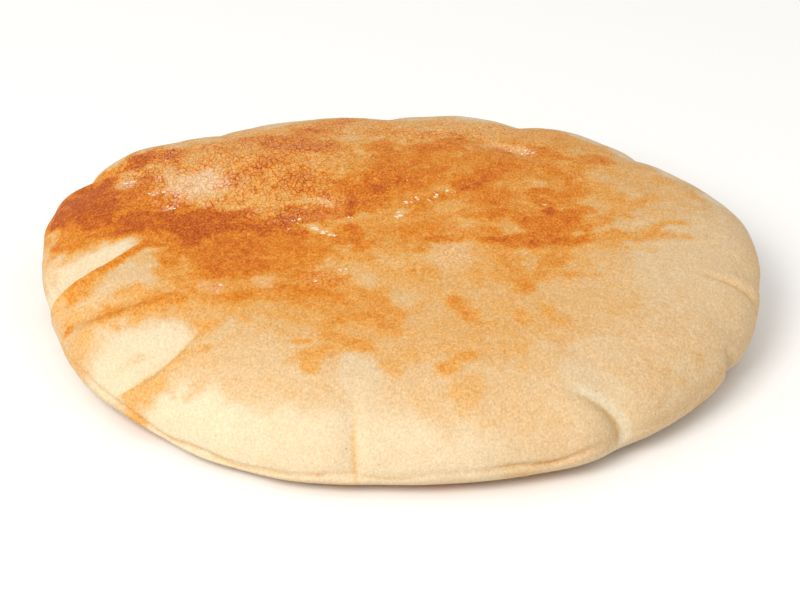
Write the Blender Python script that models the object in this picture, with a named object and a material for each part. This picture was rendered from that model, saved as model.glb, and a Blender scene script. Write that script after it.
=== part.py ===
"""A round pocket bread, baked in one piece: a flat base, a rolled rim with folds, and a puffed crown."""

import math

import bmesh
import bpy
import numpy as np

# The loaf, in metres. It stands on z = 0 with its front towards -Y.
DIAMETER = 0.170
CROWN_HEIGHT = 0.0240
CROWN_POWER = 5.5  # higher is a flatter crown with a fuller shoulder
BASE_POWER = 13.0  # higher is a flatter base with a tighter lower edge
SETTLE = 0.0004  # how far the base has flattened under its own weight

# Twelve stations round the rim, every 30 degrees from +X: how far the rim bulges past the plain circle, and
# how high above the table it is widest. It puffs up at the left and right and lies low at front and back.
RIM_BULGE = (0.0002, -0.0002, -0.0015, -0.0027, -0.0010, 0.0053,
             0.0013, -0.0012, -0.0020, -0.0013, -0.0003, 0.0)
RIM_MIDDLE = (0.0135, 0.0090, 0.0075, 0.0055, 0.0085, 0.0120,
              0.0125, 0.0085, 0.0035, 0.0060, 0.0070, 0.0090)

# Between the folds the rim stands out in low lobes and draws in beside them: degrees round the loaf, spread
# in degrees, and how far out. Where it stands out its widest part is lifted too, by a share of that.
RIM_LOBES = (
    (16, 8, 0.0005), (36, 8, -0.0004), (56, 5, 0.0008), (67, 4, -0.0008), (79, 6, 0.0010),
    (95, 5, -0.0005), (106, 5, 0.0006), (122, 6, -0.0003), (143, 4, 0.0011), (155, 5, -0.0012),
    (170, 6, 0.0009), (191, 6, -0.0008), (210, 7, 0.0010), (229, 6, -0.0009), (254, 6, 0.0011),
    (270, 9, -0.0009), (298, 4, 0.0008), (304, 3, -0.0004), (318, 6, -0.0003), (334, 4, -0.0006),
    (352, 5, -0.0005),
)
LOBE_LIFT = 0.5

# Broad swellings and hollows of the crown: place, reach and rise.
PUFFS = (
    {"x": -0.026, "y": 0.030, "reach_x": 0.034, "reach_y": 0.022, "rise": 0.0025},
    {"x": 0.030, "y": 0.012, "reach_x": 0.030, "reach_y": 0.030, "rise": 0.0008},
    {"x": -0.012, "y": -0.040, "reach_x": 0.026, "reach_y": 0.022, "rise": -0.0010},
)

# Folds run in over the crust from the rim. A route is (degrees round the loaf, degrees up from where it is
# widest), and a fold is at its deepest from the share of its route where it has opened. Seen from the rim,
# the crust falls into the crease over one reach on its left and another on its right, and puffs up into a
# lip there.
FOLDS = {
    "deep": {"route": ((192, -8), (193.3, 22), (184.8, 45)), "opens": 0.35, "depth": 0.0060,
             "left": 0.0085, "right": 0.0015, "left_lip": 0.0004, "right_lip": 0.0014},
    "soft": {"route": ((198.5, 4), (206.5, 27), (211, 52)), "opens": 0.30, "depth": 0.0016,
             "left": 0.0050, "right": 0.0030, "left_lip": 0.0, "right_lip": 0.0006},
    "front_left": {"route": ((219.5, 2), (225, 24), (225, 46)), "opens": 0.60, "depth": 0.0028,
                   "left": 0.0090, "right": 0.0018, "left_lip": 0.0, "right_lip": 0.0008},
    "front": {"route": ((263, -4), (262.3, 16), (261, 42)), "opens": 0.25, "depth": 0.0015,
              "left": 0.0034, "right": 0.0020, "left_lip": 0.0, "right_lip": 0.0003},
    "hooked": {"route": ((303, -14), (303.5, 12), (294, 31)), "opens": 0.30, "depth": 0.0024,
               "left": 0.0024, "right": 0.0045, "left_lip": 0.0, "right_lip": 0.0},
    "dimple": {"route": ((335, -18), (332, 0), (330.8, 13)), "opens": 0.35, "depth": 0.0022,
               "left": 0.0030, "right": 0.0018, "left_lip": 0.0, "right_lip": 0.0004},
    "right": {"route": ((345.6, -2), (345.6, 17), (343.5, 38)), "opens": 0.20, "depth": 0.0016,
              "left": 0.0012, "right": 0.0020, "left_lip": 0.0, "right_lip": 0.0004},
    "back_left": {"route": ((157, -20), (155, 18), (141, 43)), "opens": 0.35, "depth": 0.0028,
                  "left": 0.0060, "right": 0.0036, "left_lip": 0.0006, "right_lip": 0.0010},
    "back_right": {"route": ((82, 42), (58, 54), (34, 50)), "opens": 0.40, "depth": 0.0009,
                   "left": 0.0050, "right": 0.0050, "left_lip": 0.0, "right_lip": 0.0},
}

# Shallow dips between the lobes of the back rim, at these angles.
DIPS = (129, 94, 66, 40)
for number, dip in enumerate(DIPS, 1):
    FOLDS[f"dip_{number}"] = {
        "route": ((dip, -20), (dip, 18), (dip - 3, 46)), "opens": 0.40, "depth": 0.0012,
        "left": 0.0060, "right": 0.0060, "left_lip": 0.0, "right_lip": 0.0,
    }

# The seam where top and base crust meet runs round the widest part, wavering a little. It gapes at the
# front left and front right, and is nearly shut elsewhere.
SEAM_REACH = 0.0008
SEAM_DEPTH = 0.0002
SEAM_GAPES = ({"angle": 236, "spread": 24, "depth": 0.0007}, {"angle": 291, "spread": 7, "depth": 0.0009})
SEAM_WAVERS = ((17, 0.0004, 0), (29, 0.0003, 57))  # waves in a turn, size, degrees

# The mesh, kept light: its lines run along the creases and stand close beside them, and its rings are
# closest over the rim.
LINES_BESIDE_CREASE = (0, 0.3, 0.8, 1.5)  # shares of a flank's reach
WIDEST_GAP = 5.5  # degrees between lines
NARROWEST_GAP = 0.9
RINGS = 40
RING_SPREAD = ((0, -90), (0.10, -36), (0.24, -7), (0.36, 5), (0.82, 50), (1, 90))  # share of rings, degrees

CRUST_COLOUR = (0.70, 0.43, 0.19, 1)
CRUST_ROUGHNESS = 0.75


def periodic(angle, stations):
    """A smooth closed curve through evenly spaced stations, read at each angle in radians."""
    values = np.array(stations)
    place = (angle / (2 * math.pi) % 1) * len(values)
    index = np.floor(place).astype(int)
    part = place - index
    before, here, after, beyond = (values[(index + step) % len(values)] for step in (-1, 0, 1, 2))
    sharp = 3 * (here - after) + beyond - before
    bend = 2 * before - 5 * here + 4 * after - beyond + part * sharp
    return here + 0.5 * part * (after - before + part * bend)


def smooth_step(value, low, high):
    share = np.clip((value - low) / (high - low), 0, 1)
    return share * share * (3 - 2 * share)


def lobes(angle):
    out = np.zeros_like(angle)
    for place, spread, reach in RIM_LOBES:
        turn = (np.degrees(angle) - place + 180) % 360 - 180
        out += reach * np.exp(-((turn / spread) ** 2))
    return out


def rim_middle(angle):
    """How high above the table the rim is widest."""
    return periodic(angle, RIM_MIDDLE) + LOBE_LIFT * lobes(angle)


def crown_height(x, y):
    height = np.full_like(x, CROWN_HEIGHT)
    for puff in PUFFS:
        away = ((x - puff["x"]) / puff["reach_x"]) ** 2 + ((y - puff["y"]) / puff["reach_y"]) ** 2
        height += puff["rise"] * np.exp(-away)
    return height


def loaf(angle, latitude):
    """Points of the unfolded loaf, for angles round it and latitudes from under it to its top."""
    share = np.cos(latitude)
    radius = (DIAMETER / 2 + periodic(angle, RIM_BULGE) + lobes(angle)) * share
    x, y = radius * np.cos(angle), radius * np.sin(angle)
    middle = rim_middle(angle)
    share = np.abs(share)
    above = middle + (crown_height(x, y) - middle) * np.sqrt(np.maximum(1 - share**CROWN_POWER, 0))
    below = middle * (1 - np.sqrt(np.maximum(1 - share**BASE_POWER, 0)))
    return np.stack([x, y, np.where(latitude > 0, above, np.maximum(below - SETTLE, 0))], -1)


def outward(angle, latitude, step=0.002):
    along_rim = loaf(angle + step, latitude) - loaf(angle - step, latitude)
    up_crust = loaf(angle, latitude + step) - loaf(angle, latitude - step)
    normal = np.cross(along_rim, up_crust)
    return normal / np.maximum(np.linalg.norm(normal, axis=-1, keepdims=True), 1e-12)


def crease(route, count=40):
    """A smooth run of angles and latitudes through the three stops of a fold's route."""
    start, middle, end = np.radians(np.array(route, float))
    share = np.linspace(0, 1, count)[:, None]
    pull = 2 * middle - (start + end) / 2
    places = (1 - share) ** 2 * start + 2 * share * (1 - share) * pull + share**2 * end
    return places[:, 0], places[:, 1]


def fold_depth(points):
    """How far the folds draw the crust inwards at each point of the unfolded loaf."""
    depth = np.zeros(points.shape[:-1])
    for fold in FOLDS.values():
        places = crease(fold["route"])
        path, normals = loaf(*places), outward(*places)
        ahead = np.gradient(path, axis=0)
        left = np.cross(normals, ahead)
        gaps = points[..., None, :] - path
        nearest = np.argmin((gaps**2).sum(-1), axis=-1)
        gap = np.take_along_axis(gaps, nearest[..., None, None], axis=-2)[..., 0, :]
        ahead, left = ahead[nearest], left[nearest]
        along = (gap * ahead).sum(-1) / (ahead**2).sum(-1)
        share = (nearest + along) / (len(path) - 1)
        away = np.linalg.norm(gap - along[..., None] * ahead, axis=-1)
        on_left = (gap * left).sum(-1) > 0
        reach = np.where(on_left, fold["left"], fold["right"]) * (1 - 0.6 * np.clip(share, 0, 1))
        lip = np.where(on_left, fold["left_lip"], fold["right_lip"])
        valley = fold["depth"] * np.exp(-((away / reach) ** 1.4))
        ridge = lip * np.exp(-(((away - 2.2 * reach) / (1.3 * reach)) ** 2))
        depth += (valley - ridge) * smooth_step(share, 0, fold["opens"]) * smooth_step(share, 1, 0.4)
    return depth


def seam_depth(angle, points):
    depth = np.full(angle.shape, SEAM_DEPTH)
    for gape in SEAM_GAPES:
        depth += gape["depth"] * np.exp(-(((np.degrees(angle) - gape["angle"]) / gape["spread"]) ** 2))
    waver = sum(size * np.sin(waves * angle + math.radians(start)) for waves, size, start in SEAM_WAVERS)
    above = (points[..., 2] - rim_middle(angle) - waver) / SEAM_REACH
    share_out = np.hypot(points[..., 0], points[..., 1]) / (DIAMETER / 2)
    return depth * np.exp(-(above**2)) * smooth_step(share_out, 0.82, 0.92)


def skin(angle, latitude):
    """The finished crust at each angle and latitude."""
    points = loaf(angle, latitude)
    depth = fold_depth(points) + seam_depth(angle, points)
    return points - outward(angle, latitude) * depth[..., None]


def line_angles():
    """Where the mesh's lines cross the rim, in degrees: on each crease, beside it, and in even steps."""
    wanted = []
    for fold in FOLDS.values():
        crease_angle = fold["route"][0][0]
        for share in LINES_BESIDE_CREASE:
            wanted.append((share, crease_angle - share * math.degrees(fold["left"] / (DIAMETER / 2))))
            wanted.append((share, crease_angle + share * math.degrees(fold["right"] / (DIAMETER / 2))))
    lines = []
    for _, angle in sorted(wanted):
        if all(abs(angle - line) >= NARROWEST_GAP for line in lines):
            lines.append(angle)
    lines.sort()
    filled = []
    for line, following in zip(lines, lines[1:] + [lines[0] + 360]):
        steps = math.ceil((following - line) / WIDEST_GAP)
        filled += [line + (following - line) * step / steps for step in range(steps)]
    return np.array(filled)


def leaning(lines, latitude):
    """The angles of the mesh's lines at a latitude: they lean with the creases."""
    at_rim, here = [], []
    for fold in sorted(FOLDS.values(), key=lambda fold: fold["route"][0][0]):
        if abs(fold["route"][0][0] - fold["route"][2][0]) < 30:
            angles, latitudes = crease(fold["route"])
            at_rim.append(fold["route"][0][0])
            here.append(math.degrees(np.interp(latitude, latitudes, angles)))
    at_rim = [at_rim[-1] - 360] + at_rim + [at_rim[0] + 360]
    here = [here[-1] - 360] + here + [here[0] + 360]
    return np.radians(np.interp(lines, at_rim, here))


def crust_material():
    material = bpy.data.materials.new("baked_crust")
    material.use_nodes = True
    shader = material.node_tree.nodes["Principled BSDF"]
    shader.inputs["Base Color"].default_value = CRUST_COLOUR
    shader.inputs["Roughness"].default_value = CRUST_ROUGHNESS
    shader.inputs["Metallic"].default_value = 0
    material.diffuse_color = CRUST_COLOUR
    return material


def make_loaf(collection):
    """One closed body: a sphere's mesh, laid out over the loaf's skin."""
    lines = line_angles()
    shares, degrees = zip(*RING_SPREAD)
    latitudes = np.radians(np.interp(np.linspace(0, 1, RINGS + 1), shares, degrees))
    angles = np.array([leaning(lines, latitude) for latitude in latitudes])
    points = skin(angles, np.broadcast_to(latitudes[:, None], angles.shape))
    middle = (points.max(axis=(0, 1)) + points.min(axis=(0, 1))) / 2
    points[..., :2] -= middle[:2]  # the origin is under its middle
    bm = bmesh.new()
    bmesh.ops.create_uvsphere(bm, u_segments=len(lines), v_segments=RINGS, radius=1)
    for vert in bm.verts:
        turn = math.atan2(vert.co.y, vert.co.x) / (2 * math.pi)
        rise = math.asin(max(-1, min(1, vert.co.z))) / math.pi + 0.5
        vert.co = points[round(rise * RINGS), round(turn * len(lines)) % len(lines)]
    mesh = bpy.data.meshes.new("pita_bread")
    bm.to_mesh(mesh)
    bm.free()
    mesh.shade_smooth()
    mesh.materials.append(crust_material())
    loaf_object = bpy.data.objects.new("pita_bread", mesh)
    collection.objects.link(loaf_object)


def main():
    for old in list(bpy.data.objects):
        bpy.data.objects.remove(old)
    collection = bpy.data.collections.new("pita_bread")
    bpy.context.scene.collection.children.link(collection)
    make_loaf(collection)


main()
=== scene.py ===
# Dresses the pita bread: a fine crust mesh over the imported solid, with its toasting and flour, soft light
# and a pale floor.
import math
import random
import bmesh
import bpy
import numpy as np
from mathutils import Matrix, Vector, noise
from mathutils.bvhtree import BVHTree


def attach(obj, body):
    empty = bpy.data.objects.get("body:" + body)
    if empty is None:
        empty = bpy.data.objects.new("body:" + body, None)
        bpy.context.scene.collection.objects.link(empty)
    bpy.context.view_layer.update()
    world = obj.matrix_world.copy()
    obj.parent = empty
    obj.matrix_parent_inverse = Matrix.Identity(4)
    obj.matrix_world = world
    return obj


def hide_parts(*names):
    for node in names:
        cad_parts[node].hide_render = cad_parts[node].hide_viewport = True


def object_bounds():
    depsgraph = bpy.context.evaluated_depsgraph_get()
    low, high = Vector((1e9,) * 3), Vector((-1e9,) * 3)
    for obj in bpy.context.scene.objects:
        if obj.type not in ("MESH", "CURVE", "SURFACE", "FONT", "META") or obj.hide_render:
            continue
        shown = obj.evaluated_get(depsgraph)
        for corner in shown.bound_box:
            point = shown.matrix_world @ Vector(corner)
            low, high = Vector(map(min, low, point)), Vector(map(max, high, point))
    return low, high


mm = 0.001
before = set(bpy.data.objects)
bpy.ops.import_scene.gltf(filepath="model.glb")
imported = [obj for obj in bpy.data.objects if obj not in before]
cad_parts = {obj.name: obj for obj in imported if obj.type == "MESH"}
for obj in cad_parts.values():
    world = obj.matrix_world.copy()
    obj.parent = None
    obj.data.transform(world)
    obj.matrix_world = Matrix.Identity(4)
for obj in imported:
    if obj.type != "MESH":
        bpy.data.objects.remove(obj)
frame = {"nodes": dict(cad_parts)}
cadBox = [list(corner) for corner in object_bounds()]
print("frame loaded:", ", ".join(frame["nodes"]))

# Camera: in front of the loaf, looking down on it.
cameraSetup = {
    "elevation": 28, "distance": 0.650, "lens": 122.1, "nearest": 0.01,
    "middle": (0.0008, 0.0008, 0.010), "aim": (0.0004, -0.0020, 0.0048),
}


def aimed(thing, place, aim):
    thing.location = place
    thing.rotation_euler = (Vector(aim) - Vector(place)).to_track_quat("-Z", "Y").to_euler()
    bpy.context.scene.collection.objects.link(thing)


def makeCamera():
    rise = math.radians(cameraSetup["elevation"])
    away = Vector((0, -math.cos(rise), math.sin(rise))) * cameraSetup["distance"]
    camera = bpy.data.objects.new("camera", bpy.data.cameras.new("camera"))
    camera.data.lens = cameraSetup["lens"]
    camera.data.clip_start = cameraSetup["nearest"]
    aimed(camera, Vector(cameraSetup["middle"]) + away, cameraSetup["aim"])
    bpy.context.scene.camera = camera


makeCamera()

# The loaf's form, in metres and degrees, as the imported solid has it.
loaf = {
    "diameter": 0.170, "crown": 0.0240, "crownPower": 5.5, "basePower": 13.0, "settle": 0.0004,
    # every 30 degrees round the rim: its bulge past the circle, and the height where it is widest. Both rows
    # are the rounded result of a least-squares fit, not chosen by hand.
    "bulge": (0.0002, -0.0002, -0.0015, -0.0027, -0.0010, 0.0053,
              0.0013, -0.0012, -0.0020, -0.0013, -0.0003, 0.0),
    "middle": (0.0135, 0.0090, 0.0075, 0.0055, 0.0085, 0.0120,
               0.0125, 0.0085, 0.0035, 0.0060, 0.0070, 0.0090),
    # lobes between the folds: angle, spread, how far out, with a share of that as lift
    "lobes": (
        (16, 8, 0.0005), (36, 8, -0.0004), (56, 5, 0.0008), (67, 4, -0.0008), (79, 6, 0.0010),
        (95, 5, -0.0005), (106, 5, 0.0006), (122, 6, -0.0003), (143, 4, 0.0011), (155, 5, -0.0012),
        (170, 6, 0.0009), (191, 6, -0.0008), (210, 7, 0.0010), (229, 6, -0.0009), (254, 6, 0.0011),
        (270, 9, -0.0009), (298, 4, 0.0008), (304, 3, -0.0004), (318, 6, -0.0003), (334, 4, -0.0006),
        (352, 5, -0.0005),
    ),
    "lobeLift": 0.5,
    # x, y, reach along x, reach along y, rise
    "puffs": ((-0.026, 0.030, 0.034, 0.022, 0.0025), (0.030, 0.012, 0.030, 0.030, 0.0008),
              (-0.012, -0.040, 0.026, 0.022, -0.0010)),
    "dips": (129, 94, 66, 40),
    "seamReach": 0.0008, "seamDepth": 0.0002,
    "seamGapes": ((236, 24, 0.0007), (291, 7, 0.0009)),  # angle, spread, depth
    "seamWavers": ((17, 0.0004, 0), (29, 0.0003, 57)),  # waves in a turn, size, degrees
}

# Folds: route from the rim inwards, where it has opened, depth, the reach of its flanks and the height of
# its lips.
folds = {
    "deep": {"route": ((192, -8), (193.3, 22), (184.8, 45)), "opens": 0.35, "depth": 0.0060,
             "left": 0.0085, "right": 0.0015, "leftLip": 0.0004, "rightLip": 0.0014},
    "soft": {"route": ((198.5, 4), (206.5, 27), (211, 52)), "opens": 0.30, "depth": 0.0016,
             "left": 0.0050, "right": 0.0030, "leftLip": 0.0, "rightLip": 0.0006},
    "frontLeft": {"route": ((219.5, 2), (225, 24), (225, 46)), "opens": 0.60, "depth": 0.0028,
                  "left": 0.0090, "right": 0.0018, "leftLip": 0.0, "rightLip": 0.0008},
    "front": {"route": ((263, -4), (262.3, 16), (261, 42)), "opens": 0.25, "depth": 0.0015,
              "left": 0.0034, "right": 0.0020, "leftLip": 0.0, "rightLip": 0.0003},
    "hooked": {"route": ((303, -14), (303.5, 12), (294, 31)), "opens": 0.30, "depth": 0.0024,
               "left": 0.0024, "right": 0.0045, "leftLip": 0.0, "rightLip": 0.0},
    "dimple": {"route": ((335, -18), (332, 0), (330.8, 13)), "opens": 0.35, "depth": 0.0022,
               "left": 0.0030, "right": 0.0018, "leftLip": 0.0, "rightLip": 0.0004},
    "right": {"route": ((345.6, -2), (345.6, 17), (343.5, 38)), "opens": 0.20, "depth": 0.0016,
              "left": 0.0012, "right": 0.0020, "leftLip": 0.0, "rightLip": 0.0004},
    "backLeft": {"route": ((157, -20), (155, 18), (141, 43)), "opens": 0.35, "depth": 0.0028,
                 "left": 0.0060, "right": 0.0036, "leftLip": 0.0006, "rightLip": 0.0010},
    "backRight": {"route": ((82, 42), (58, 54), (34, 50)), "opens": 0.40, "depth": 0.0009,
                  "left": 0.0050, "right": 0.0050, "leftLip": 0.0, "rightLip": 0.0},
}
for number, dip in enumerate(loaf["dips"], 1):
    folds[f"dip{number}"] = {"route": ((dip, -20), (dip, 18), (dip - 3, 46)), "opens": 0.40, "depth": 0.0012,
                             "left": 0.0060, "right": 0.0060, "leftLip": 0.0, "rightLip": 0.0}


def roundRim(angle, stations):
    values = np.array(stations)
    place = (angle / (2 * math.pi) % 1) * len(values)
    index = np.floor(place).astype(int)
    part = place - index
    before, here, after, beyond = (values[(index + step) % len(values)] for step in (-1, 0, 1, 2))
    sharp = 3 * (here - after) + beyond - before
    bend = 2 * before - 5 * here + 4 * after - beyond + part * sharp
    return here + 0.5 * part * (after - before + part * bend)


def ease(value, low, high):
    share = np.clip((value - low) / (high - low), 0, 1)
    return share * share * (3 - 2 * share)


def lobes(angle):
    out = np.zeros_like(angle)
    for place, spread, reach in loaf["lobes"]:
        turn = (np.degrees(angle) - place + 180) % 360 - 180
        out += reach * np.exp(-((turn / spread) ** 2))
    return out


def rimMiddle(angle):
    return roundRim(angle, loaf["middle"]) + loaf["lobeLift"] * lobes(angle)


def plainLoaf(angle, latitude):
    share = np.cos(latitude)
    radius = (loaf["diameter"] / 2 + roundRim(angle, loaf["bulge"]) + lobes(angle)) * share
    x, y = radius * np.cos(angle), radius * np.sin(angle)
    crown = loaf["crown"]
    for puffX, puffY, reachX, reachY, rise in loaf["puffs"]:
        crown = crown + rise * np.exp(-(((x - puffX) / reachX) ** 2) - ((y - puffY) / reachY) ** 2)
    middle = rimMiddle(angle)
    share = np.abs(share)
    above = middle + (crown - middle) * np.sqrt(np.maximum(1 - share ** loaf["crownPower"], 0))
    below = middle * (1 - np.sqrt(np.maximum(1 - share ** loaf["basePower"], 0)))
    return np.stack([x, y, np.where(latitude > 0, above, np.maximum(below - loaf["settle"], 0))], -1)


def outward(angle, latitude, step=0.002):
    alongRim = plainLoaf(angle + step, latitude) - plainLoaf(angle - step, latitude)
    upCrust = plainLoaf(angle, latitude + step) - plainLoaf(angle, latitude - step)
    normal = np.cross(alongRim, upCrust)
    return normal / np.maximum(np.linalg.norm(normal, axis=-1, keepdims=True), 1e-12)


def crease(route, count=40):
    start, middle, end = np.radians(np.array(route, float))
    share = np.linspace(0, 1, count)[:, None]
    pull = 2 * middle - (start + end) / 2
    places = (1 - share) ** 2 * start + 2 * share * (1 - share) * pull + share**2 * end
    return places[:, 0], places[:, 1]


def besideFold(points, fold):
    # which points are near the crease; their share of the way along it, distance, and whether on its left
    places = crease(fold["route"])
    path, normals = plainLoaf(*places), outward(*places)
    spread = 6 * max(fold["left"], fold["right"])
    inBox = (points > path.min(axis=0) - spread) & (points < path.max(axis=0) + spread)
    near = np.nonzero(inBox.all(axis=-1))[0]
    ahead = np.gradient(path, axis=0)
    left = np.cross(normals, ahead)
    gaps = points[near][:, None, :] - path
    nearest = np.argmin((gaps**2).sum(-1), axis=-1)
    gap = np.take_along_axis(gaps, nearest[:, None, None], axis=1)[:, 0, :]
    ahead, left = ahead[nearest], left[nearest]
    along = (gap * ahead).sum(-1) / (ahead**2).sum(-1)
    away = np.linalg.norm(gap - along[:, None] * ahead, axis=-1)
    return near, (nearest + along) / (len(path) - 1), away, (gap * left).sum(-1) > 0


def foldDepth(fold, share, away, onLeft):
    reach = np.where(onLeft, fold["left"], fold["right"]) * (1 - 0.6 * np.clip(share, 0, 1))
    valley = fold["depth"] * np.exp(-((away / reach) ** 1.4))
    lip = np.where(onLeft, fold["leftLip"], fold["rightLip"])
    ridge = lip * np.exp(-(((away - 2.2 * reach) / (1.3 * reach)) ** 2))
    return (valley - ridge) * ease(share, 0, fold["opens"]) * ease(share, 1, 0.4)


def seamRise(angle, points):
    waver = sum(size * np.sin(waves * angle + math.radians(start))
                for waves, size, start in loaf["seamWavers"])
    return points[:, 2] - rimMiddle(angle) - waver


def seamDepth(angle, points):
    depth = np.full(angle.shape, loaf["seamDepth"])
    for gapeAngle, spread, gape in loaf["seamGapes"]:
        depth += gape * np.exp(-(((np.degrees(angle) - gapeAngle) / spread) ** 2))
    above = seamRise(angle, points) / loaf["seamReach"]
    shareOut = np.hypot(points[:, 0], points[:, 1]) / (loaf["diameter"] / 2)
    return depth * np.exp(-(above**2)) * ease(shareOut, 0.82, 0.92)


# The crust's mesh: its lines run along the creases, closest beside them, and its rings are closest over
# the rim.
crustMesh = {
    "besideCrease": 2.4, "linesBeside": 11, "widestGap": 0.88, "narrowestGap": 0.16,
    "rings": 172, "ringSpread": ((0, -90), (0.06, -36), (0.15, -8), (0.31, 8), (0.72, 50), (1, 90)),
    # relief: size of a lump and how high it stands
    "lumps": ((0.022, 0.00034), (0.009, 0.00018), (0.0035, 0.00008)),
}


def lineAngles():
    shares = np.linspace(0, crustMesh["besideCrease"], crustMesh["linesBeside"])
    wanted = []
    for fold in folds.values():
        for side, reach in ((-1, fold["left"]), (1, fold["right"])):
            turn = side * math.degrees(reach / (loaf["diameter"] / 2))
            wanted += [(share, fold["route"][0][0] + share * turn) for share in shares]
    lines = []
    for _, angle in sorted(wanted):
        if all(abs(angle - line) >= crustMesh["narrowestGap"] for line in lines):
            lines.append(angle)
    lines.sort()
    filled = []
    for line, following in zip(lines, lines[1:] + [lines[0] + 360]):
        steps = math.ceil((following - line) / crustMesh["widestGap"])
        filled += [line + (following - line) * step / steps for step in range(steps)]
    return np.array(filled)


def leaning(lines, latitude):
    atRim, here = [], []
    for fold in sorted(folds.values(), key=lambda fold: fold["route"][0][0]):
        if abs(fold["route"][0][0] - fold["route"][2][0]) < 30:
            angles, latitudes = crease(fold["route"])
            atRim.append(fold["route"][0][0])
            here.append(math.degrees(np.interp(latitude, latitudes, angles)))
    atRim = [atRim[-1] - 360] + atRim + [atRim[0] + 360]
    here = [here[-1] - 360] + here + [here[0] + 360]
    return np.radians(np.interp(lines, atRim, here))


def lumpy(points, size, seed=0):
    shift = Vector((seed * 7.3, seed * 3.1, seed * 5.7))
    return np.array([noise.noise(Vector(point) / size + shift) for point in points])


def makeCrust():
    lines = lineAngles()
    rings = crustMesh["rings"]
    shares, degrees = zip(*crustMesh["ringSpread"])
    latitudes = np.radians(np.interp(np.linspace(0, 1, rings + 1), shares, degrees))
    table = np.array([leaning(lines, latitude) for latitude in latitudes])
    # a grid rolled into a ball, its seam and poles closed, then each vertex moved to its place
    bm = bmesh.new()
    bmesh.ops.create_grid(bm, x_segments=len(lines), y_segments=rings, size=0.5)
    for vert in bm.verts:
        turn, rise = 2 * math.pi * (vert.co.x + 0.5), math.pi * vert.co.y
        vert.co = (math.cos(turn) * math.cos(rise), math.sin(turn) * math.cos(rise), math.sin(rise))
    bmesh.ops.remove_doubles(bm, verts=[vert for vert in bm.verts if vert.is_boundary], dist=1e-5)
    start = np.array([vert.co for vert in bm.verts], dtype=float)
    turn = np.arctan2(start[:, 1], start[:, 0]) / (2 * math.pi)
    line = np.round(turn * len(lines)).astype(int) % len(lines)
    ring = np.round((np.arcsin(np.clip(start[:, 2], -1, 1)) / math.pi + 0.5) * rings).astype(int)
    angle, latitude = table[ring, line], latitudes[ring]
    plain, normals = plainLoaf(angle, latitude), outward(angle, latitude)
    depth = seamDepth(angle, plain)
    beside = {}
    for name, fold in folds.items():
        near, *beside[name] = besideFold(plain, fold)
        depth[near] += foldDepth(fold, *beside[name])
        beside[name].append(near)
    points = plain - normals * depth[:, None]
    print("crust: folds pressed in")
    lift = sum(height * lumpy(points, size) for size, height in crustMesh["lumps"])
    lift *= ease(points[:, 2], 0.0005, 0.004)
    points = points + normals * lift[:, None]
    middle = (points.max(axis=0) + points.min(axis=0)) / 2
    shift = ((np.array(cadBox[0]) + np.array(cadBox[1])) / 2 - middle) * (1, 1, 0)
    for vert, point in zip(bm.verts, points + shift):
        vert.co = point
    mesh = bpy.data.meshes.new("crust")
    bm.to_mesh(mesh)
    bm.free()
    mesh.shade_smooth()
    crust = bpy.data.objects.new("crust", mesh)
    bpy.context.scene.collection.objects.link(crust)
    print("crust:", len(lines), "lines,", rings, "rings,", len(lines) * (rings - 1) * 2, "triangles")
    return crust, angle, points, beside, shift


crust, angle, points, beside, shift = makeCrust()

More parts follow.
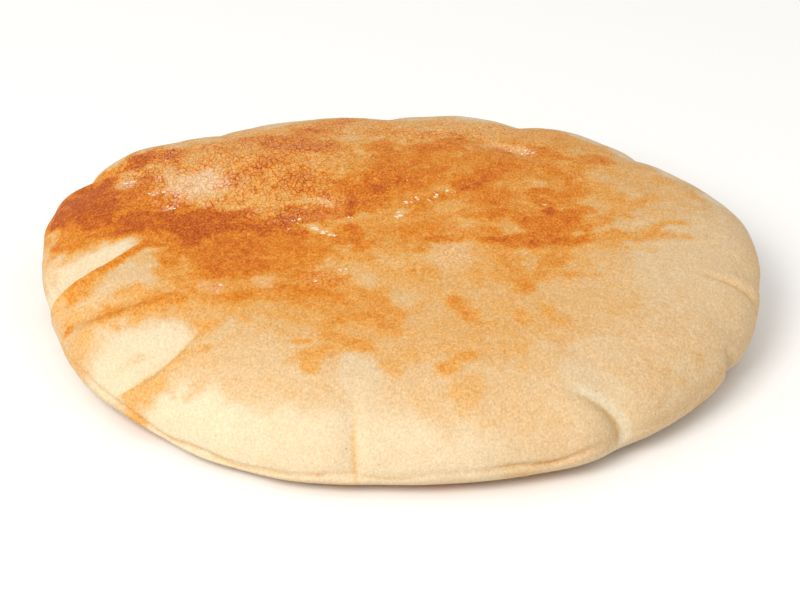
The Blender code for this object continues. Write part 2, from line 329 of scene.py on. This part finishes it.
# Browning, in millimetres on the plan: x, y, half length, half width, turn and tone, from 0 cream to 100
# rust.
browning = {
    "ground": 17, "underside": 34, "wander": ((14, 2.0), (5, 1.2), (2.4, 0.5)), "ragged": (3.2, 0.30),
    "patches": (
        (-48, -66, 44, 13, -42, 2), (-10, -83, 40, 9, -4, 7), (-76, -36, 8, 16, 32, 22),
        (6, -46, 48, 20, 0, 40), (-38, -55, 20, 9, -22, 27), (-25, -64, 16, 7, -20, 22),
        (15, -70, 18, 8, -8, 25), (44, -28, 10, 30, 0, 31), (56, 22, 18, 20, 0, 35), (12, 58, 56, 15, 0, 42),
        (40, 50, 14, 8, -20, 50), (16, 24, 36, 24, 0, 69), (12, -4, 36, 12, 0, 64), (-38, 28, 25, 30, 0, 55),
        (-56, 44, 14, 14, 0, 46), (-30, -28, 30, 14, -6, 64), (-10, -42, 13, 9, -30, 57),
        (20, -20, 20, 10, 0, 50), (-2, -25, 14, 7, 0, 46), (-47, -3, 23, 10, -12, 92),
        (-36, -12, 16, 12, 0, 85), (-42, -21, 9, 8, 20, 82), (-24, -13, 9, 9, 0, 76),
        (-76, 18, 12, 14, 0, 82),
        (-79, 17, 9, 12, 0, 100), (-76, 1, 9, 8, 0, 76), (-66, 10, 10, 9, 0, 78), (-61, 0, 10, 7, -20, 94),
        (-50, 1, 8, 7, -20, 99), (-57, 11, 8, 5, -25, 80), (-54, 50, 9, 6, 20, 28), (-21, 54, 6, 10, 0, 62),
        (-4, 57, 3, 4, 0, 58), (-33, 45, 9, 6, 0, 69), (-73, 37, 8, 6, 0, 66), (-67, 39, 4, 7, 0, 94),
        (-57, 41, 7, 3.5, 0, 68), (-65, 48, 4, 6, 0, 70), (-67, 25, 4, 5, 0, 38), (-61, 27, 3, 6, 20, 70),
        (-56, 27, 7, 4, -10, 34), (-49, 20, 7, 9, 12, 22), (-57, 18, 5, 4, 0, 36), (-43, 41, 5, 4, 0, 60),
        (-25, 38, 12, 6, 0, 60), (-20, 11, 5, 3, 0, 46), (-3, 21, 13, 7, 35, 82), (-11, 12, 6, 6, 40, 85),
        (-14, 6, 6, 3, 25, 80), (5, 26, 7, 5, 0, 78), (22, 25, 7, 3.5, 42, 87), (7, 40, 8, 3, 0, 80),
        (3, 32, 9, 5, 0, 75), (31, 21, 4.5, 3, 0, 42), (22, 36, 6, 3, 0, 73), (37, 26, 4, 3, 0, 72),
        (2, 11, 3, 3, 30, 42), (11, 8, 3.5, 3, 0, 50), (11, 17, 5, 2, 20, 56), (0, 3, 1.5, 3, 0, 28),
        (13, -2, 3.5, 3, 0, 43), (26, -4, 4, 2.5, -10, 42), (23, 3, 5, 3, 0, 80), (34, 0, 6, 6, 0, 85),
        (40, 4, 4, 4, 30, 86), (34, 13, 5, 5, 0, 77), (20, 13, 5, 5, 0, 75), (24, -9, 6, 3, 0, 85),
        (31, -8, 6, 4, 10, 86), (41, -9, 5, 2.5, 20, 78), (36, -16, 3, 5, 0, 66), (-25, -5, 3, 4, 0, 86),
        (-18, -6, 3, 3, 0, 34), (-8, 1, 7, 3, 0, 58), (7, -4, 8, 4, 0, 72), (49, 27, 3.5, 4, 0, 36),
        (48, 10, 4, 3, 0, 36), (52, -1, 8, 4, -15, 32), (52, 14, 4, 2.5, 0, 57), (48, 37, 7, 3.5, 35, 60),
        (27, 43, 8, 2, -28, 46), (36, 53, 7, 7, 0, 52), (55, 27, 4, 4, 0, 43), (64, 29, 4, 3, 30, 44),
        (44, 41, 3, 4, 0, 40), (31, -20, 3, 3, 0, 40), (11, -15, 6, 8, 0, 33), (-9, -27, 4, 3.5, 0, 31),
        (-14, -22, 5, 4, 0, 40), (4, -25, 3, 3, 0, 57), (1, -35, 3.5, 4, 0, 31), (26, -44, 2.5, 3, 0, 55),
        (17, -48, 3, 3, 0, 49), (-11, -45, 5, 3, 20, 65), (-20, -34, 6, 4, 0, 74), (-27, -31, 5, 2, 0, 72),
        (-36, -35, 5, 2.5, 10, 72), (-31, -28, 3, 3, 0, 42), (-43, -30, 4, 3, 0, 34),
        (-30, -41, 10, 3, 0, 48),
        (-48, -40, 6, 5, 0, 42), (-13, -53, 7, 3, -15, 58), (-10, -56, 4, 2, -10, 70),
        (-18, -58, 7, 2.5, 10, 52),
        (-9, -66, 5, 8, 0, 12), (-2, -62, 2.5, 4, 0, 42), (10, -64, 3, 2.5, 0, 60), (13, -60, 3, 2, 0, 54),
        (14, -70, 4, 5, -20, 38), (42, -64, 9, 5, -10, 12), (-74, -20, 7, 7, 0, 52), (-75, -22, 3, 4, 0, 66),
        (-66, -13, 7, 3, 45, 76), (-63, -24, 11, 6, 20, 20), (-60, -15, 4, 3, 20, 34),
        (-60, -35, 14, 5, -3, 58), (-55, -34, 6, 3, 0, 72), (-66, -35, 4, 3, 0, 70), (-72, -31, 4, 3, 20, 28),
        (-57, -47, 14, 4, 5, 4), (-55, -55, 9, 4, -15, 26), (-58, -56, 3.5, 2, -15, 50),
        (-73, -11, 12, 3, 14, 4),
        (-64, 23, 5, 6, 10, 80), (-57, 15, 5, 3.5, 0, 76), (-42, 20, 3.5, 5, 0, 74), (-36, 24, 4, 4, 0, 74),
        (-51, 29, 5, 3.5, 10, 58), (-58, 38, 5, 5, 0, 84), (-66, 43, 3, 4, 0, 92), (-50, 45, 4, 3, 0, 52),
        (-31, 30, 5, 4, 0, 74), (-19, 17, 6, 4, 20, 84), (-23, 4, 6, 4, 20, 82), (-29, 1, 3, 3, 0, 82),
        (-62, -9, 6, 2.5, 35, 84), (-55, -16, 3, 3, 0, 76), (-53, -22, 4.5, 3.5, 0, 62),
        (-13, -7, 3.5, 3.5, 30, 90), (-11, -12, 3, 3, 0, 78), (-18, -26, 5, 3, -20, 72),
        (10, -9, 5, 2.2, 20, 76),
        (4, -13, 4, 3, 0, 66), (-6, 41, 4, 5, 0, 78), (6, 50, 3.5, 4, 0, 66), (14, 47, 4, 4, -30, 78),
        (24, 43, 4.5, 2.5, -35, 74), (36, 40, 5, 4, 0, 74), (47, 38, 4, 3, 10, 72), (-15, 63, 5, 5, 0, 66),
        (-25, 53, 6, 4, 0, 76), (-14, 75, 6, 3, 5, 46), (-5, 78, 6, 3, 0, 64), (49, 11, 5, 4, 20, 54),
        (33, 18, 4, 2, 0, 80), (66, -3, 4, 2, 0, 40), (72, 22, 3, 3, 0, 44),
        (-45, -45, 4, 3, 40, 48), (-41, -30, 5, 3, 0, 64), (14, 66, 16, 3, -5, 24), (46, 58, 6, 3, -30, 26),
        (26, 22, 5, 3, 0, 62), (54, 20, 3, 4, 0, 34), (57, -10, 3, 2, 0, 30), (46, -11, 7, 1.5, 0, 46),
        (26, -31, 3.5, 3.5, -40, 44), (39, -18, 3, 2.5, 0, 46), (3, -45, 4, 3, 0, 36),
        (-10, -50, 5, 3, -20, 46),
        (-4, -55, 2.5, 3, 0, 34), (-20, -62, 3, 2, 0, 48), (30, -57, 3, 6, 0, 26), (46, -60, 4, 2, 0, 30),
        (55, -46, 8, 5, 20, 22), (-64, -30, 4, 3, 0, 28), (-74, 10, 4, 8, 0, 100), (-75, -31, 4, 3, 0, 38),
        (38, -24, 4, 2.5, 0, 56), (-72, -40, 4, 3, -40, 36),
        (-62, -29, 4, 1.6, 10, 50), (-67.5, -30, 2, 1.4, 0, 66), (-76, -33, 1.2, 1.4, 0, 72),
        (-10, -17, 7, 2.5, -10, 58),
        (-4, 51, 6, 5, 0, 58), (-27, 40, 10, 6, -20, 76),
        (-44, 17, 3, 2, 0, 66), (3, 11, 4, 3, 0, 74), (21, -4, 4, 2, -20, 76), (-14, -3, 3, 3, 0, 80),
        (-19, -8, 3, 3, 0, 74), (-27, 19, 5, 3, 60, 74), (-30, 0, 3, 3, 0, 94), (13, 52, 3, 2, 0, 68),
        (15, 19, 3, 3, 0, 88), (-44, -52, 2, 1.5, 0, 44),
        (-57, -56, 5, 3, 20, 42), (-54, -53.5, 8, 2.6, 15, 44),
        (-35, 64, 13, 6, 50, 12), (-43, 57, 6, 5, 0, 34), (21, 68, 12, 3, -20, 6), (46, 58, 6, 3, -38, 10),
        (57, 49, 6, 3, -45, 10), (67, 38, 6, 3, -52, 8), (76, 24, 5, 3, -70, 6), (2, 65, 4, 2, 0, 14),
        (-65, 48, 4, 2, 45, 28), (-60, 36, 4, 2, -40, 66), (-32, 52, 4, 3, 35, 46), (0, 2, 2, 2, 0, 66),
        (9, 14, 2, 2, 0, 84), (-16, 8, 2, 2, 0, 84), (33, 6, 2, 2, 0, 92), (-59, 25, 1.6, 5, 15, 68),
        (-56, -14, 3, 3, 0, 64), (-20, 17, 3, 3, 0, 68), (60, 14, 6, 4, 0, 30),
        (44, -56, 9, 6, 0, 18), (-23, -53.5, 2, 1.1, 0, 60),
    ),
    "streaks": (
        (44, -6, 50, -4, 2.0, 70), (50, -4, 56, -5, 1.6, 68), (56, -5, 60, 0, 1.4, 62),
        (60, 0, 66, 4, 1.2, 54), (42, -2, 47, 2, 2.5, 68), (47, 2, 53, 8, 2.2, 60), (53, 8, 61, 17, 2.0, 50),
        (21, -12, 29, -31, 3.0, 60), (29, -31, 36, -14, 2.4, 62), (28, -28, 29, -31, 1.6, 68),
        (12, -36, 14, -44, 2.0, 62), (-10, -33, -3, -40, 2.2, 64), (-3, -40, -3, -47, 2.0, 64),
        (32, -40, 36, -46, 2.0, 49), (-24, -35, -12, -38, 2.5, 66), (-52, -11, -40, -13, 3, 86),
        (-66, -12, -56, -5, 2.6, 84), (46, -7, 62, -3, 2.4, 58),
    ),
    # beside folds: fold, on its left, share of the way (from, to), how far out in mm (from, to), tone
    "folds": (
        ("deep", True, -0.2, 0.93, 4.6, 7.8, 3), ("deep", False, 0.0, 0.92, 1.6, 4.2, 62),
        ("frontLeft", True, -0.3, 0.78, 4.0, 8.0, 4), ("frontLeft", False, 0.25, 0.48, 2.0, 5.0, 34),
        # the hooked fold's pale band is untoasted dough, and is painted paler still as a painted highlight
        # where light falls on its flank
        ("hooked", False, 0.05, 0.80, 2.4, 4.4, 2),
    ),
    # painted shade: brown lines darkening the creases where they fall into shadow: fold, share of the way
    # (from, to), half width in mm, tone, strength
    "creases": (
        ("hooked", 0.2, 0.62, 0.40, 46, 0.6), ("front", 0.0, 0.55, 0.5, 44, 0.6),
        ("right", 0.0, 0.7, 0.4, 58, 1.0),
        ("dimple", 0.1, 0.8, 0.4, 42, 0.5), ("frontLeft", 0.25, 0.9, 0.35, 46, 0.5),
        ("deep", 0.1, 0.8, 0.35, 62, 0.6), ("soft", 0.2, 0.8, 2.0, 54, 0.35),
        ("soft", 0.3, 0.6, 0.5, 64, 0.35),
    ),
    # the brown line of the seam: angle, spread, strength
    "seam": ((240, 22, 0.8), (290, 8, 0.8), (262, 12, 0.3), (200, 12, 0.2)), "seamTone": 50, "seamWide": 0.26,
}


def painted(cover):
    x, y = points[:, 0] / mm, points[:, 1] / mm
    for number, (size, far) in enumerate(cover["wander"]):
        x = x + far * lumpy(points, size * mm, 1 + number)
        y = y + far * lumpy(points, size * mm, 11 + number)
    size, rough = cover["ragged"]
    ragged = rough * (lumpy(points, size * mm, 21) + 0.6 * lumpy(points, 0.45 * size * mm, 22))
    tone = np.full(x.shape, float(cover["ground"]))
    for placeX, placeY, long, wide, turn, level in cover["patches"]:
        cosine, sine = math.cos(math.radians(turn)), math.sin(math.radians(turn))
        along = (x - placeX) * cosine + (y - placeY) * sine
        across = (y - placeY) * cosine - (x - placeX) * sine
        tone += (level - tone) * ease(np.hypot(along / long, across / wide) + ragged, 1.4, 0.6)
    for startX, startY, endX, endY, wide, level in cover["streaks"]:
        stepX, stepY = endX - startX, endY - startY
        share = np.clip(((x - startX) * stepX + (y - startY) * stepY) / (stepX**2 + stepY**2), 0, 1)
        away = np.hypot(x - startX - share * stepX, y - startY - share * stepY) / wide
        tone += (level - tone) * ease(away + 1.6 * ragged, 1.5, 0.4)
    return tone / 100


def paintCrust():
    tone = painted(browning)
    # cream and brown bands beside the folds; the hooked fold's pale band is partly a painted highlight
    for name, onLeftSide, start, end, inner, outer, level in browning["folds"]:
        share, away, onLeft, near = beside[name]
        here = ease(away / mm * (1 + 0.5 * np.clip(share, 0, 1)), outer, inner) * (onLeft == onLeftSide)
        here *= ease(share, start - 0.1, start + 0.1) * ease(share, end + 0.1, end - 0.05)
        tone[near] += (level / 100 - tone[near]) * here
    # painted shade: each crease is drawn darker along its line
    for name, start, end, wide, level, strength in browning["creases"]:
        share, away, onLeft, near = beside[name]
        here = strength * np.exp(-((away / mm / wide) ** 2)) * ease(share, start - 0.1, start + 0.1)
        tone[near] += (level / 100 - tone[near]) * here * ease(share, end + 0.15, end - 0.1)
    above = seamRise(angle, points)
    below = ease(above, 0, -0.004)
    under = browning["underside"] / 100 + 0.5 * lumpy(points, 0.016, 5) + 0.2 * lumpy(points, 0.006, 6)
    rim = 0.06 + 0.4 * ease(lumpy(points, 0.012, 8), 0.1, 0.6)
    height = points[:, 2] - 0.001 * lumpy(points, 0.008, 9)
    base = rim + (np.clip(under, 0.12, 0.95) - rim) * ease(height, 0.0040, 0.0002)
    tone += (base - tone) * below
    strength = sum(share * np.exp(-(((np.degrees(angle) % 360 - place) / spread) ** 2))
                   for place, spread, share in browning["seam"])
    wavering = 0.7 + 0.9 * lumpy(points, 0.004, 7)
    strength = strength * np.exp(-((above / mm / browning["seamWide"]) ** 2)) * wavering
    tone += (browning["seamTone"] / 100 - tone) * np.clip(strength, 0, 1)
    store("brown", tone)


def store(name, values):
    layer = crust.data.attributes.new(name, "FLOAT", "POINT")
    layer.data.foreach_set("value", np.asarray(values, dtype=np.float32))


paintCrust()
print("crust painted")


# Flour left on the crust, and where its skin is crackled, both written as the browning is: 0 none to 100.
flouring = {
    "ground": 0, "wander": ((9, 2.0), (4, 1.5), (2.2, 0.6)), "ragged": (2.6, 0.45), "streaks": (),
    "patches": (
        (-36, 28, 31, 32, 0, 27), (2, 58, 40, 12, 0, 32), (-55, 36, 17, 18, 0, 30), (-66, 12, 8, 8, 0, 12),
        (-49, 18, 8, 9, 10, 84), (-57, 26, 5, 3.5, 0, 55), (-68, 26, 2.5, 2.5, 0, 75),
        (-56, 8, 2, 1.5, 0, 60), (-61, 17, 2, 2, 0, 55), (-20, 11, 6, 3, 0, 50),
        (-22, 3, 9, 3, 0, 30), (-38, 10, 12, 5, -8, 30), (-30, 40, 14, 6, 0, 30), (-6, 50, 14, 7, 0, 30),
        (11, -15, 6, 8, 0, 42), (-17, -24, 7, 5, 0, 30), (0, -20, 6, 4, 0, 24), (27, 43, 8, 2.5, -28, 55),
        (26, -4, 4, 2.5, 0, 20), (13, -2, 4, 3, 0, 24), (-43, -30, 3, 2.5, 0, 45), (-31, -28, 3, 3, 0, 35),
        (-5, 28, 10, 14, 10, 6), (-52, -2, 18, 7, -15, 3),
    ),
}
crackling = {
    "ground": 0, "wander": ((9, 2.0), (4, 1.5)), "ragged": (3.0, 0.40), "streaks": (),
    "patches": (
        (-36, 28, 31, 30, 0, 100), (2, 58, 42, 13, 0, 80), (-57, 34, 18, 20, 0, 100), (-66, 14, 9, 9, 0, 60),
        (11, -15, 7, 9, 0, 45), (-17, -24, 8, 6, 0, 35), (0, -20, 8, 5, 0, 30), (-8, 26, 12, 14, 0, 45),
        (36, 40, 18, 12, -20, 40),
    ),
}


class Shade:
    # an output socket that can be used in sums
    def __init__(self, socket):
        self.socket = socket

    def maths(self, operation, *others, swapped=False):
        node = self.socket.id_data.nodes.new("ShaderNodeMath")
        node.operation = operation
        values = [self, *others]
        if swapped:
            values.reverse()
        for place, value in zip(node.inputs, values):
            plug(place, value)
        return Shade(node.outputs[0])

    def __add__(self, other):
        return self.maths("ADD", other)

    def __radd__(self, other):
        return self.maths("ADD", other)

    def __sub__(self, other):
        return self.maths("SUBTRACT", other)

    def __rsub__(self, other):
        return self.maths("SUBTRACT", other, swapped=True)

    def __mul__(self, other):
        return self.maths("MULTIPLY", other)

    def __rmul__(self, other):
        return self.maths("MULTIPLY", other)


def plug(place, value):
    if isinstance(value, Shade):
        place.id_data.links.new(value.socket, place)
    else:
        place.default_value = value


class Finish:
    def __init__(self, name):
        self.material = bpy.data.materials.new(name)
        self.material.use_nodes = True
        self.tree = self.material.node_tree
        self.shader = self.tree.nodes["Principled BSDF"]

    def make(self, kind, settings, inputs, out=0):
        node = self.tree.nodes.new(kind)
        for key, value in settings.items():
            if key == "stops":
                ramp = node.color_ramp
                for number, (position, colour) in enumerate(value):
                    stop = ramp.elements[number] if number < 2 else ramp.elements.new(position)
                    stop.position = position
                    stop.color = (*colour, 1)
            else:
                setattr(node, key, value)
        for key, value in inputs.items():
            plug(node.inputs[key], value)
        return Shade(node.outputs[out])

    def where(self):
        return self.make("ShaderNodeTexCoord", {}, {}, "Object")

    def layer(self, name):
        return self.make("ShaderNodeAttribute", {"attribute_name": name}, {}, "Fac")

    def cloud(self, place, size, detail=2, wispy=0.0):
        # noise from -1 to 1 with lumps of a size in metres
        noise = self.make("ShaderNodeTexNoise", {}, {"Vector": place, "Scale": 1 / size, "Detail": detail,
                                                     "Roughness": 0.6, "Distortion": wispy})
        return (noise - 0.5) * 2

    def cells(self, place, size, feature, out):
        return self.make("ShaderNodeTexVoronoi", {"feature": feature},
                         {"Vector": place, "Scale": 1 / size}, out)

    def rise(self, value, low, high):
        # 0 below low and 1 above high, eased between them
        return self.make("ShaderNodeMapRange", {"interpolation_type": "SMOOTHSTEP"},
                         {"Value": value, "From Min": low, "From Max": high})

    def blend(self, factor, first, second):
        return self.make("ShaderNodeMix", {"data_type": "RGBA"}, {0: factor, 6: first, 7: second}, 2)


crustFinish = {
    # tone and colour, from cream dough to rust
    "tones": ((0.00, (0.67, 0.575, 0.40)), (0.15, (0.62, 0.455, 0.27)), (0.35, (0.61, 0.365, 0.15)),
              (0.55, (0.62, 0.295, 0.068)), (0.75, (0.58, 0.195, 0.016)), (0.90, (0.52, 0.135, 0.008)),
              (1.00, (0.41, 0.085, 0.006))),
    "flour": (0.74, 0.48, 0.315, 1), "speck": (0.28, 0.20, 0.10, 1),
    "stretch": (1, 0.62, 1),  # the fine patterns are drawn out from front to back
    "mottleSize": 0.0050, "patchSize": 0.0024, "fineSize": 0.0011, "grainSize": 0.0005,
    "cellSize": 0.0013, "cellBend": 0.0022, "veinWidth": 0.11, "veinShare": (0.65, 0.5),
    "speckSize": 1 / 230, "speckReach": (0.075, 0.035), "speckStrength": 0.45,
    # how strongly each pattern shows: in the tone, at the flour's edge, as light and dark, and as relief
    "toneOf": {"swing": (0.60, 0.05), "mottle": 0.50, "patch": 0.32, "vein": 0.32, "cell": 0.10,
               "crackle": 0.02, "lift": 0.02},
    "dust": {"patch": 0.35, "fine": 0.25, "spread": 0.10, "cell": 0.20, "vein": 0.60,
             "range": (0.10, 1.20), "strength": 0.85},
    "light": {"grain": (0.115, 0.030, 0.070), "fine": (0.034, 0.014), "patch": 0.008, "cell": 0.07,
              "vein": 0.06, "crackle": 0.016},
    "relief": {"fine": 0.05, "grain": 0.03, "mottle": 0.15, "patch": 0.08, "vein": 0.06},
    "eyeGamma": 2.4, "roughness": 0.68, "brownSmoothing": 0.10, "specular": 0.10,
}


def crustMaterial():
    look = crustFinish
    paint = Finish("crust")
    place = paint.where()
    drawn = paint.make("ShaderNodeMapping", {}, {"Vector": place, "Scale": look["stretch"]})
    brown, flour, crackle = paint.layer("brown"), paint.layer("flour"), paint.layer("crackle")
    mottle = paint.cloud(place, look["mottleSize"], 3, 0.6)
    patch = paint.cloud(drawn, look["patchSize"], 2, 0.4)
    fine = paint.cloud(drawn, look["fineSize"], 1)
    grain = paint.cloud(drawn, look["grainSize"], 1)
    # crackled skin: small cells, each its own tone, with thin brown veins between
    bend = paint.make("ShaderNodeTexNoise", {},
                      {"Vector": drawn, "Scale": 1 / look["patchSize"], "Detail": 2}, "Color")
    bent = paint.make("ShaderNodeVectorMath", {"operation": "MULTIPLY_ADD"},
                      {0: bend, 1: [look["cellBend"]] * 3, 2: drawn})
    edge = paint.cells(bent, look["cellSize"], "DISTANCE_TO_EDGE", "Distance")
    least, varied = look["veinShare"]
    vein = paint.rise(edge, look["veinWidth"], 0.0) * crackle * (least + patch * varied)
    cell = (paint.cells(bent, look["cellSize"], "F1", "Color") - 0.5) * crackle
    toneOf, dust, light, relief = look["toneOf"], look["dust"], look["light"], look["relief"]
    onBrown, everywhere = toneOf["swing"]
    swing = brown * onBrown + everywhere
    tone = brown + mottle * swing * toneOf["mottle"] + patch * swing * toneOf["patch"]
    tone = tone + vein * toneOf["vein"] + cell * toneOf["cell"] + crackle * toneOf["crackle"] + toneOf["lift"]
    colour = paint.make("ShaderNodeValToRGB", {"stops": look["tones"]}, {"Fac": tone})
    dusted = flour + (patch * dust["patch"] + fine * dust["fine"]) * (flour + dust["spread"])
    dusted = paint.rise(dusted - cell * dust["cell"] - vein * dust["vein"], *dust["range"])
    colour = paint.blend(dusted * dust["strength"], colour, look["flour"])
    speck = paint.rise(paint.cells(place, look["speckSize"], "F1", "Distance"), *look["speckReach"])
    colour = paint.blend(speck * look["speckStrength"], colour, look["speck"])
    # grain lightens and darkens every colour by as much as the eye sees, whatever its hue
    onBrown, onCrackle, everywhere = light["grain"]
    shade = grain * (brown * onBrown + crackle * onCrackle + everywhere)
    onBrown, everywhere = light["fine"]
    shade = shade + fine * (brown * onBrown + everywhere) + patch * light["patch"]
    shade = shade + cell * light["cell"] - vein * light["vein"] + crackle * light["crackle"]
    seen = paint.make("ShaderNodeGamma", {}, {"Color": colour, "Gamma": 1 / look["eyeGamma"]})
    seen = paint.make("ShaderNodeVectorMath", {"operation": "ADD"}, {0: seen, 1: shade})
    colour = paint.make("ShaderNodeGamma", {}, {"Color": seen, "Gamma": look["eyeGamma"]})
    height = fine * relief["fine"] + grain * relief["grain"] + mottle * relief["mottle"]
    height = height + patch * relief["patch"] - vein * relief["vein"]
    bump = paint.make("ShaderNodeBump", {}, {"Strength": 1.0, "Distance": mm, "Height": height}, "Normal")
    plug(paint.shader.inputs["Base Color"], colour)
    plug(paint.shader.inputs["Roughness"], look["roughness"] - brown * look["brownSmoothing"])
    plug(paint.shader.inputs["Normal"], bump)
    plug(paint.shader.inputs["Specular IOR Level"], look["specular"])
    return paint.material


# flour and crackle lie on the top crust only, and fade out at the seam
onTop = ease(seamRise(angle, points), -0.003, 0.001)
store("flour", painted(flouring) * onTop)
store("crackle", painted(crackling) * onTop)
crust.data.materials.append(crustMaterial())
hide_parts("pita_bread")
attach(crust, "root")
print("crust finished")


# Loose flour, in millimetres on the plan. Clusters: x, y, reach, how many grains; 22 of the 27 places were
# listed by a script, not chosen by hand. Drifts: x, y, reach along x and y, how many grains.
flourGrains = {
    "clusters": (
        (-17, -6, 0.9, 26), (-19, -5, 0.8, 20), (-21, -3, 0.9, 12), (-1, 3, 0.8, 22), (-0.5, 4.5, 1.0, 10),
        (1, 10, 1.0, 14), (3, 12, 1.0, 12), (6, 11, 0.9, 7), (8, 14, 1.5, 6), (11, 17, 1.6, 9),
        (-56, 8, 0.9, 16),
        (-67, 26, 1.8, 22), (-61, 17, 1.2, 10), (-58, 17, 0.8, 9), (-49, 18, 4.0, 26), (-26, 1, 1.2, 6),
        (-27, -3, 1.0, 5), (-19, 11, 1.6, 10), (-13, 3, 1.0, 4), (-20, -27, 1.0, 5), (-14, -22, 1.2, 5),
        (11, -14, 1.8, 8), (31, 40, 2.0, 12), (27, 42, 1.6, 8), (31, 21, 1.6, 6), (34, 9, 0.8, 3),
        (-41, -29, 1.4, 4),
    ),
    "drifts": ((-42, 26, 22, 18, 130), (-6, 40, 26, 16, 80), (0, 0, 60, 50, 50)),
    "radius": (0.00007, 0.00045), "driftShare": 0.4, "flatness": 0.35, "stretch": (0.8, 1.5),
    "uneven": 0.22,
    "colour": (0.76, 0.62, 0.43, 1), "roughness": 0.9,
}


def flourPlaces():
    places = []
    for x, y, reach, count in flourGrains["clusters"]:
        places += [(random.gauss(x, reach / 2), random.gauss(y, reach / 2), 1.0) for _ in range(count)]
    for x, y, reachX, reachY, count in flourGrains["drifts"]:
        share = flourGrains["driftShare"]
        places += [(random.gauss(x, reachX / 2), random.gauss(y, reachY / 2), share) for _ in range(count)]
    return places


def makeFlour():
    random.seed(11)
    surface = BVHTree.FromPolygons([vert.co for vert in crust.data.vertices],
                                   [face.vertices for face in crust.data.polygons])
    smallest, largest = flourGrains["radius"]
    bm = bmesh.new()
    for x, y, share in flourPlaces():
        above = Vector((x * mm + shift[0], y * mm + shift[1], 0.05))
        place, normal, *_ = surface.ray_cast(above, Vector((0, 0, -1)))
        if place is None:
            continue
        radius = share * (smallest + (largest - smallest) * random.random() ** 3)
        lean = normal.to_track_quat("Z", "Y").to_matrix().to_4x4()
        turn = Matrix.Rotation(random.uniform(0, 2 * math.pi), 4, "Z")
        shape = Matrix.Diagonal((random.uniform(*flourGrains["stretch"]), 1, flourGrains["flatness"], 1))
        grain = bmesh.ops.create_icosphere(bm, subdivisions=1, radius=radius,
                                           matrix=Matrix.Translation(place) @ lean @ turn @ shape)
        for vert in grain["verts"]:
            vert.co += Vector(random.uniform(-1, 1) for _ in range(3)) * radius * flourGrains["uneven"]
    mesh = bpy.data.meshes.new("flour")
    bm.to_mesh(mesh)
    bm.free()
    flour = bpy.data.objects.new("flour", mesh)
    bpy.context.scene.collection.objects.link(flour)
    paint = Finish("flour")
    plug(paint.shader.inputs["Base Color"], flourGrains["colour"])
    plug(paint.shader.inputs["Roughness"], flourGrains["roughness"])
    mesh.materials.append(paint.material)
    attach(flour, "root")
    print("flour:", len(mesh.polygons), "triangles")


makeFlour()


# Floor and light.
studio = {
    "floorColour": (0.86, 0.86, 0.86, 1), "floorRoughness": 0.9,
    "skyColour": (1.0, 0.99, 0.97, 1), "skyStrength": 0.86,
    "key": {"place": (-0.38, -0.60, 0.62), "size": 0.45, "power": 6.2, "colour": (1.0, 0.96, 0.90)},
}


def makeStudio():
    world = bpy.data.worlds.new("studio")
    world.use_nodes = True
    world.node_tree.nodes["Background"].inputs["Color"].default_value = studio["skyColour"]
    world.node_tree.nodes["Background"].inputs["Strength"].default_value = studio["skyStrength"]
    bpy.context.scene.world = world
    bm = bmesh.new()
    bmesh.ops.create_grid(bm, x_segments=1, y_segments=1, size=3)
    mesh = bpy.data.meshes.new("floor")
    bm.to_mesh(mesh)
    bm.free()
    floor = bpy.data.objects.new("floor", mesh)
    bpy.context.scene.collection.objects.link(floor)
    paint = Finish("pale_floor")
    plug(paint.shader.inputs["Base Color"], studio["floorColour"])
    plug(paint.shader.inputs["Roughness"], studio["floorRoughness"])
    mesh.materials.append(paint.material)
    key = studio["key"]
    lamp = bpy.data.lights.new("key", "AREA")
    lamp.size = key["size"]
    lamp.energy = key["power"]
    lamp.color = key["colour"]
    aimed(bpy.data.objects.new("key", lamp), key["place"], (0, 0, 0.01))
    bpy.context.scene.view_settings.view_transform = "Standard"


makeStudio()
print("studio made")
